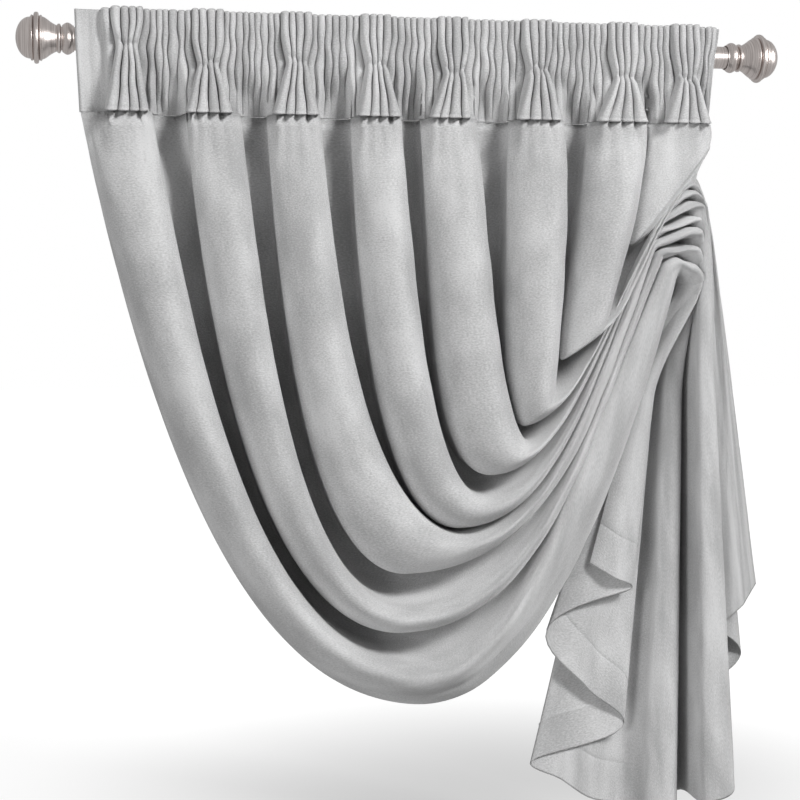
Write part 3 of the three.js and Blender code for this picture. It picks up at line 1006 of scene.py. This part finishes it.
@dataclass
class PleatedHeading:
    """The heading strip: pencil pleats and eight pinched clusters of four fingers, in millimetres.

    Each fold of the edge strip has its share of the strip and how far it stands towards the wall.
    The lip's rows are heights above the lower edge. Of the top's lifts, the first is for every
    pleat and the second is added at a finger; of the stitch's depths, the first is for fingers.
    """

    name: str = "pleated_heading"
    node: str = "curtain_heading"
    thickness: float = 1.8
    top: float = 30.0
    bottom: float = -82.0
    back: float = -14.8
    pinch_width: float = 22.0
    top_width: float = 35.0
    under_width: float = 26.0
    pinch_run: float = 34.0
    edge_strip: float = 28.0
    edge_folds: tuple[tuple[float, float], ...] = (
        (0.0, -3.0), (0.12, -1.2), (0.3, 0.0), (0.44, -0.8), (0.5, 0.6), (0.56, -0.8), (0.8, 0.0))
    edge_turn: float = 3.0
    pull_reach: float = 7.5
    squareness: float = 3.2
    crease_wave: float = 7.0
    gather_pitch: float = 7.4
    gather_ends: tuple[float, float] = (-28.0, -84.0)
    gather_fade: tuple[float, float] = (-16.0, 14.0)
    gather_left: float = 0.15
    gather_uneven: tuple[float, float] = (0.2, 0.12)
    uneven_wave: float = 9.0
    settle_from: float = 22.0
    deepest: float = -25.0
    fingers: int = 4
    finger_sway: float = 0.5
    finger_uneven: float = 3.5
    sewn_above: float = 3.0
    sewn_reach: float = 4.0
    sewn_depth: float = 4.0
    proud_run: tuple[float, float] = (-1.0, 6.0)
    proud: float = 3.5
    lip_rows: tuple[float, ...] = (7.0, 5.6, 4.6, 3.8, 3.0, 2.0, 1.0, 0.0)
    lip_reach: float = 2.5
    lip_turn: float = 0.3
    stitch_at: float = 3.8
    stitch_width: float = 0.9
    stitch_depths: tuple[float, float] = (0.6, 0.3)
    top_reach: float = 3.5
    top_lifts: tuple[float, float] = (1.3, 1.4)
    hang: float = 1.6
    hang_reach: float = 8.0
    rows: int = 46
    pleat_steps: int = 8
    seed: int = 5
    panel_top: np.ndarray = field(default_factory=lambda: np.zeros((2, 3)))
    clusters: list[Cluster] = field(default_factory=clusters)
    levels: list[HeadingLevel] = field(default_factory=heading_levels)

    def level(self, z: float, name: str) -> float:
        """Returns one column of the levels at a height."""
        rows = self.levels[::-1]
        return float(column(rows, "z", z, name))

    def span(self, cluster: Cluster, z: float) -> tuple[float, float]:
        """Returns a cluster's left and right sides.

        Args:
            cluster: the cluster.
            z: the height.

        Returns:
            The two sides.
        """
        half = self.pinch_width / 2
        if z > cluster.pinch_z:
            opening = smooth(cluster.pinch_z - 4.0, cluster.pinch_z + self.pinch_run, z)
            half = lerp(self.pinch_width, self.top_width, opening) / 2
            return cluster.pinch_x - half, cluster.pinch_x + half
        share = (cluster.pinch_z - z) / (cluster.pinch_z - self.bottom)
        return (lerp(cluster.pinch_x - half, cluster.left, share),
                lerp(cluster.pinch_x + half, cluster.right, share))

    def under(self, cluster: Cluster, z: float) -> tuple[float, float]:
        """Returns where the cloth goes in behind a cluster's fan.

        Args:
            cluster: the cluster.
            z: the height.

        Returns:
            The two sides.
        """
        left, right = self.span(cluster, z)
        if z > cluster.pinch_z:
            return left, right
        share = smooth(cluster.pinch_z, self.bottom, z)
        half = lerp(self.pinch_width, self.under_width, share) / 2
        return max(left, cluster.pinch_x - half), min(right, cluster.pinch_x + half)

    def counts(self) -> list[int]:
        """Returns how many gathers lie before each cluster, and after the last."""
        reached = self.level(self.top, "left") + self.edge_strip
        found = []
        for cluster in self.clusters:
            left = cluster.pinch_x - self.top_width / 2
            found.append(max(round((left - reached) / self.gather_pitch), 1))
            reached = cluster.pinch_x + self.top_width / 2
        found.append(max(round((self.level(self.top, "right") - reached) / self.gather_pitch), 1))
        return found

    def cut_width(self) -> float:
        """Returns the strip's flat width: each pleat takes its pitch and twice its depth."""
        z = (self.top + self.bottom) / 2
        gather = self.gather_pitch + 2 * self.level(z, "gather_depth")
        stands = self.level(z, "finger_valley") - self.level(z, "finger_crest")
        finger = self.pinch_width / self.fingers + 2 * stands
        return self.edge_strip + sum(self.counts()) * gather + len(self.clusters) * self.fingers * finger

    def tubes(self, sides: tuple[float, float], widths: np.ndarray, phases: np.ndarray, sway: float,
              z: float, pulls: tuple[float, float] = (0.0, 0.0)) -> list[tuple[float, float, float]]:
        """Returns a run of pleats, each a round tube between two creases.

        Args:
            sides: the run's left and right sides.
            widths: the pleats' widths against each other.
            phases: a number for each pleat that sets it apart.
            sway: how far the creases wander sideways.
            z: the height.
            pulls: how far each side is drawn from where the pleats would stand straight.

        Returns:
            For each point its place, its swell from 0 to 1, and the number that sets its pleat apart.
        """
        shares = np.concatenate([[0.0], np.cumsum(widths)]) / widths.sum()
        edges = lerp(sides[0] - pulls[0], sides[1] - pulls[1], shares)
        near_left = np.exp((edges[0] - edges) / self.pull_reach)
        near_right = np.exp((edges - edges[-1]) / self.pull_reach)
        edges = edges + pulls[0] * near_left + pulls[1] * near_right
        edges[1:-1] += sway * np.sin(z / self.crease_wave + phases[1:])
        found = []
        for number, phase in enumerate(phases):
            for step in range(self.pleat_steps):
                share = step / self.pleat_steps
                swell = 1.0 - abs(2.0 * share - 1.0) ** self.squareness
                found.append((lerp(edges[number], edges[number + 1], share), swell, phase))
        return found

    def gathers(self, sides: tuple[float, float], widths: np.ndarray, phases: np.ndarray, z: float,
                pulls: tuple[float, float]) -> list[tuple[float, float, float, bool]]:
        """Returns the gathers between two clusters at one height.

        Args:
            sides: the run's left and right sides.
            widths: the pleats' widths against each other.
            phases: a number for each pleat that sets it apart.
            z: the height.
            pulls: how far each side is drawn away by the pinches.

        Returns:
            For each point its place, depth and swell, and that it is no finger's.
        """
        settled = smooth(self.settle_from, -self.bottom, -z)
        depth = self.level(z, "gather_depth")
        own, wavy = self.gather_uneven
        found = []
        for x, swell, phase in self.tubes(sides, widths, phases, self.level(z, "sway"), z, pulls):
            wall = float(np.interp(x, self.panel_top[:, 0], self.panel_top[:, 1]))
            base = lerp(self.back, max(wall, self.deepest), settled)
            end = lerp(*self.gather_ends, 0.5 + 0.5 * math.sin(5.3 * phase))
            stands = smooth(end + self.gather_fade[0], end + self.gather_fade[1], z)
            wave = math.sin(z / self.uneven_wave + 2.3 * phase)
            uneven = 1.0 + own * math.sin(1.9 * phase) + wavy * wave
            kept = lerp(self.gather_left, 1.0, stands)
            found.append((x, base - depth * swell * uneven * kept, swell, False))
        return found

    def fan(self, cluster: Cluster, widths: np.ndarray, phases: np.ndarray,
            z: float) -> list[tuple[float, float, float, bool]]:
        """Returns a cluster's fingers at one height.

        Args:
            cluster: the cluster.
            widths: the fingers' widths against each other.
            phases: a number for each finger that sets it apart.
            z: the height.

        Returns:
            For each point its place, depth and swell, and that it is a finger's.
        """
        sides = self.span(cluster, z)
        valley, crest = self.level(z, "finger_valley"), self.level(z, "finger_crest")
        found = []
        for x, swell, phase in self.tubes(sides, widths, phases, self.finger_sway, z):
            start = cluster.pinch_z + self.finger_uneven * math.sin(phase)
            sewn = math.exp(-(((z - start - self.sewn_above) / self.sewn_reach) ** 2))
            proud = smooth(-start + self.proud_run[0], -start + self.proud_run[1], -z)
            stands = crest + self.sewn_depth * sewn - self.proud * proud
            found.append((x, valley + (stands - valley) * swell, swell, True))
        found.append((sides[1], valley, 0.0, True))
        return found

    def row_points(self, z: float, widths: list[np.ndarray],
                   phases: list[np.ndarray]) -> list[tuple[float, float, float, bool]]:
        """Returns the heading at one height, left to right.

        Args:
            z: the height.
            widths: the pleats' widths, run by run.
            phases: the pleats' own numbers, run by run.

        Returns:
            For each point its place, depth and swell, and whether it is a finger's.
        """
        left, right = self.level(z, "left"), self.level(z, "right")
        points = [(left + self.edge_strip * share, self.back + lift, 0.0, False)
                  for share, lift in self.edge_folds]
        reached = left + self.edge_strip
        pulled = 0.0
        run = 0
        for cluster in self.clusters:
            low, high = self.under(cluster, z)
            free = self.top_width / 2
            pulls = (pulled, low - cluster.pinch_x + free)
            points += self.gathers((reached, low), widths[run], phases[run], z, pulls)
            points += self.fan(cluster, widths[run + 1], phases[run + 1], z)
            reached, pulled = high, high - cluster.pinch_x - free
            run += 2
        inner = right - self.edge_turn
        points += self.gathers((reached, inner), widths[run], phases[run], z, (pulled, 0.0))
        points += [(inner, self.back, 0.0, False), (right, self.back - self.edge_turn, 0.0, False)]
        return points

    def middle(self) -> np.ndarray:
        """Returns the grid of the heading's middle points, in millimetres."""
        rng = np.random.default_rng(self.seed)
        counts = self.counts()
        runs: list[int] = []
        for count in counts[:-1]:
            runs += [count, self.fingers]
        runs.append(counts[-1])
        widths = [rng.uniform(0.75, 1.25, count) for count in runs]
        phases = [rng.uniform(0.0, 2 * math.pi, count) for count in runs]
        lip = self.bottom + np.array(self.lip_rows)
        heights = np.concatenate([np.linspace(self.top, lip[0], self.rows, endpoint=False), lip])
        grid = []
        for z in heights:
            near_top = math.exp(-((self.top - z) / self.top_reach))
            near_bottom = math.exp(-((z - self.bottom) / self.lip_reach))
            stitched = math.exp(-(((z - self.bottom - self.stitch_at) / self.stitch_width) ** 2))
            hung = self.hang * math.exp(-((z - self.bottom) / self.hang_reach))
            line = []
            for x, y, swell, finger in self.row_points(z, widths, phases):
                lift = near_top * (self.top_lifts[0] * swell + (self.top_lifts[1] if finger else 0.0))
                lip_out = self.stitch_depths[0] * stitched - self.lip_turn * near_bottom
                if not finger:
                    lip_out = self.stitch_depths[1] * stitched
                drop = hung * swell if finger else 0.0
                line.append((x, y + lip_out, z + lift - drop))
            grid.append(line)
        return np.array(grid).transpose(1, 0, 2)

    def build(self, finish: bpy.types.Material) -> bpy.types.Object:
        """Args:
            finish: the velvet.

        Returns:
            The heading.
        """
        sheet = ClothSheet(self.name, self.middle() * MM, self.thickness * MM)
        piece = sheet.build()
        piece.data.materials.append(finish)
        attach(piece, Body.ROOT.value)
        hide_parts(self.node)
        LOG.info("%s: %.3f square metres of cloth", self.name, sheet.flat_area())
        self.cut_width() * MM
        return piece


@dataclass(frozen=True)
class TurnStation:
    """One step of a turned outline, in millimetres: place along the axis and radius."""

    at: float
    radius: float


@dataclass
class TurnedPiece:
    """Tools for a turned metal piece about the rod's axis. The weld is in metres, the angle in degrees."""

    sides: int = 72
    sharp_from: float = 32.0
    weld: float = 1e-6

    def turn(self, name: str, start_x: float, way: float,
             outline: Sequence[TurnStation]) -> bpy.types.Object:
        """Turns an outline by pulling a disc along the axis, step by step.

        Args:
            name: the piece's name.
            start_x: where place 0 of the outline is, in metres.
            way: 1 to go right from there, -1 to go left.
            outline: the stations in order.

        Returns:
            The piece, at the origin.
        """
        bpy.ops.object.select_all(action="DESELECT")
        first = outline[0]
        bpy.ops.mesh.primitive_circle_add(
            vertices=self.sides, radius=first.radius * MM, fill_type="NGON",
            location=(start_x + way * first.at * MM, 0.0, 0.0), rotation=(0.0, math.pi / 2, 0.0))
        piece = bpy.context.active_object
        piece.name = name
        bpy.ops.object.transform_apply(location=True, rotation=True, scale=True)
        bpy.ops.object.mode_set(mode="EDIT")
        bpy.ops.mesh.select_all(action="SELECT")
        for before, station in zip(outline[:-1], outline[1:]):
            move = way * (station.at - before.at) * MM
            bpy.ops.mesh.extrude_region_move(TRANSFORM_OT_translate={"value": (move, 0.0, 0.0)})
            scale = station.radius / before.radius
            centre = (start_x + way * station.at * MM, 0.0, 0.0)
            bpy.ops.transform.resize(value=(1.0, scale, scale), center_override=centre)
        bpy.ops.mesh.select_all(action="SELECT")
        bpy.ops.mesh.remove_doubles(threshold=self.weld)
        bpy.ops.mesh.normals_make_consistent(inside=False)
        bpy.ops.object.mode_set(mode="OBJECT")
        bpy.ops.object.shade_smooth_by_angle(angle=math.radians(self.sharp_from))
        return piece


@dataclass
class KnobFinial(TurnedPiece):
    """A knob: dome, three rings, tapered body, neck ring and ball collar. Sizes are millimetres."""

    inner_end: float = 375.0
    length: float = 62.8
    dome: tuple[float, float] = (15.5, 22.5)
    dome_steps: int = 14
    rings: tuple[tuple[float, float, float], ...] = (
        (16.2, 19.2, 24.8), (20.0, 25.0, 28.0), (25.8, 28.8, 24.8))
    ring_round: float = 1.6
    ring_steps: int = 6
    body: tuple[tuple[float, float], ...] = (
        (29.6, 22.9), (31.5, 22.2), (33.5, 20.9), (36.0, 19.0), (38.5, 17.2), (41.0, 15.8), (43.0, 14.7),
        (44.5, 14.2), (45.0, 15.2), (46.0, 15.9), (47.2, 16.0), (48.2, 15.6), (48.9, 14.2), (49.2, 12.8),
        (50.0, 12.8))
    collar: tuple[float, float] = (50.2, 61.8)
    collar_radius: float = 17.4
    collar_rim: float = 14.3
    collar_steps: int = 14
    bore: tuple[tuple[float, float], ...] = (
        (0.0, 14.2), (0.2, 13.8), (2.6, 13.7), (3.0, 13.0), (11.7, 13.0))

    def outline(self) -> list[TurnStation]:
        """Returns the outline from the outer tip to the inner end."""
        stations = []
        length, radius = self.dome
        for step in range(1, self.dome_steps + 1):
            angle = math.pi / 2 * step / self.dome_steps
            stations.append(TurnStation(length * (1 - math.cos(angle)), radius * math.sin(angle)))
        for start, end, size in self.rings:
            middle, half = (start + end) / 2, (end - start) / 2
            for step in range(self.ring_steps + 1):
                angle = math.pi * (step / self.ring_steps)
                swell = size - self.ring_round + self.ring_round * math.sin(angle)
                stations.append(TurnStation(middle - half * math.cos(angle), swell))
        stations += [TurnStation(at, size) for at, size in self.body]
        start, end = self.collar
        for step in range(self.collar_steps + 1):
            share = step / self.collar_steps
            size = lerp(self.collar_rim, self.collar_radius, math.sin(math.pi * share))
            stations.append(TurnStation(lerp(start, end, share), size))
        return stations + [TurnStation(self.length - back, size) for back, size in self.bore]

    def build(self, name: str, node: str, side: int, finish: bpy.types.Material) -> bpy.types.Object:
        """Makes and dresses one finial.

        Args:
            name: the piece's name.
            node: the node that it stands for.
            side: -1 for the left end, 1 for the right.
            finish: the metal.

        Returns:
            The finial.
        """
        tip = side * (self.inner_end + self.length) * MM
        piece = self.turn(name, tip, -side, self.outline())
        piece.data.materials.append(finish)
        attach(piece, Body.ROOT.value)
        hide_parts(node)
        LOG.info("%s: turned", name)
        return piece


@dataclass
class RodTube(TurnedPiece):
    """The plain rod. Sizes are millimetres."""

    name: str = "rod_tube"
    node: str = "rod"
    radius: float = 12.7
    half_length: float = 386.7
    chamfer: float = 0.8

    def build(self, finish: bpy.types.Material) -> bpy.types.Object:
        """Makes and dresses the rod.

        Args:
            finish: the metal.

        Returns:
            The rod.
        """
        length, end_radius = 2 * self.half_length, self.radius - self.chamfer
        outline = [TurnStation(0.0, end_radius), TurnStation(self.chamfer, self.radius),
                   TurnStation(length - self.chamfer, self.radius), TurnStation(length, end_radius)]
        piece = self.turn(self.name, -self.half_length * MM, 1.0, outline)
        piece.data.materials.append(finish)
        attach(piece, Body.ROOT.value)
        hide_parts(self.node)
        LOG.info("%s: turned", self.name)
        return piece


@dataclass
class StudioSet:
    """Camera, soft lights and the pale floor. Lengths are metres and angles degrees."""

    eye: tuple[float, float, float] = (-0.3588, -1.9696, -0.329)
    azimuth: float = -10.0
    tilt: float = 2.0
    focal_pixels: float = 1753.0
    picture: float = 800.0
    sensor: float = 36.0
    sight: float = 50.0
    floor_z: float = -0.96
    floor_size: float = 40.0
    aim_z: float = -0.2
    air_light: float = 0.19
    mirrored_light: float = 0.5

    def camera(self) -> None:
        """Places the camera at the photograph's angle."""
        data = bpy.data.cameras.new("camera")
        data.sensor_width = self.sensor
        data.sensor_fit = "HORIZONTAL"
        data.lens = data.sensor_width * self.focal_pixels / self.picture
        data.clip_end = self.sight
        piece = linked("camera", data)
        piece.location = self.eye
        piece.rotation_euler = (math.radians(90 - self.tilt), 0.0, math.radians(self.azimuth))
        bpy.context.scene.camera = piece

    def sun(self, name: str, side: float, height: float, strength: float, softness: float) -> None:
        """Adds one far, soft light.

        Args:
            name: its name.
            side: degrees to the left of the front, below 0 to the right.
            height: degrees above the level.
            strength: its power.
            softness: how wide it is, in degrees.
        """
        data = bpy.data.lights.new(name, "SUN")
        data.energy = strength
        data.angle = math.radians(softness)
        piece = linked(name, data)
        around, up = math.radians(side), math.radians(height)
        source = Vector((-math.sin(around) * math.cos(up), -math.cos(around) * math.cos(up), math.sin(up)))
        piece.rotation_euler = source.to_track_quat("Z", "Y").to_euler()
        piece.visible_glossy = False

    def box(self, name: str, place: tuple[float, float, float], size: float, power: float,
            mirrored_only: bool) -> None:
        """Adds a soft box aimed just below the rod's middle, or level where only the metal shows it.

        Args:
            name: its name.
            place: where it stands.
            size: its width and height.
            power: its watts.
            mirrored_only: True where it only shows as a glow in the metal.
        """
        data = bpy.data.lights.new(name, "AREA")
        data.size = size
        data.energy = power
        piece = linked(name, data)
        piece.location = place
        aim = Vector((0.0, 0.0, place[2] if mirrored_only else self.aim_z))
        piece.rotation_euler = (Vector(place) - aim).to_track_quat("Z", "Y").to_euler()
        piece.visible_diffuse = not mirrored_only
        piece.visible_glossy = mirrored_only

    def floor(self, finish: bpy.types.Material) -> None:
        """Adds the pale floor, whose material holds a painted soft shadow near the cloth."""
        bpy.ops.object.select_all(action="DESELECT")
        bpy.ops.mesh.primitive_plane_add(size=self.floor_size, location=(0.0, 0.0, self.floor_z))
        piece = bpy.context.active_object
        piece.name = "floor"
        bpy.ops.object.transform_apply(location=True, rotation=True, scale=True)
        piece.data.materials.append(finish)
        piece.visible_diffuse = False
        piece.visible_glossy = False
        piece.visible_shadow = False

    def air(self) -> None:
        """Sets the white surroundings."""
        world = bpy.data.worlds.new("surroundings")
        bpy.context.scene.world = world
        world.use_nodes = True
        nodes, links = world.node_tree.nodes, world.node_tree.links
        nodes["Background"].inputs["Color"].default_value = (1.0, 1.0, 1.0, 1.0)
        seen = nodes.new("ShaderNodeLightPath")
        mirrored = nodes.new("ShaderNodeMapRange")
        mirrored.inputs["To Min"].default_value = self.air_light
        mirrored.inputs["To Max"].default_value = self.mirrored_light
        strength = nodes.new("ShaderNodeMapRange")
        strength.inputs["To Max"].default_value = 1.0
        links.new(seen.outputs["Is Glossy Ray"], mirrored.inputs["Value"])
        links.new(seen.outputs["Is Camera Ray"], strength.inputs["Value"])
        links.new(mirrored.outputs["Result"], strength.inputs["To Min"])
        links.new(strength.outputs["Result"], nodes["Background"].inputs["Strength"])
        bpy.context.scene.view_settings.view_transform = "Standard"

    def build(self) -> None:
        """Builds the whole set."""
        self.camera()
        self.floor(FloorFinish().material())
        self.air()
        self.sun("key", side=-40.0, height=36.0, strength=1.72, softness=12.0)
        self.sun("fill", side=50.0, height=4.0, strength=0.90, softness=24.0)
        self.sun("bounce", side=42.0, height=-40.0, strength=0.72, softness=34.0)
        self.box("upper_key", place=(1.4, -1.9, 1.5), size=0.6, power=46.0, mirrored_only=False)
        self.box("front_glow", place=(0.9, -2.6, 0.45), size=1.5, power=32.0, mirrored_only=True)
        self.box("side_glow", place=(2.6, -1.2, 0.35), size=1.6, power=36.0, mirrored_only=True)


def main() -> None:
    """Builds every piece in order."""
    StudioSet().build()
    velvet = VelvetFinish().material()
    nickel = NickelFinish().material()
    RodTube().build(nickel)
    finial = KnobFinial()
    finial.build("knob_left", "finial_left", -1, nickel)
    finial.build("knob_right", "finial_right", 1, nickel)
    panel = CurtainPanel()
    grid = panel.middle()
    top_row = grid[:, 0]
    PleatedHeading(panel_top=top_row[np.argsort(top_row[:, 0])]).build(velvet)
    panel.build(grid, velvet)


if __name__ == "__main__":
    logging.basicConfig(level=logging.INFO)
    main()
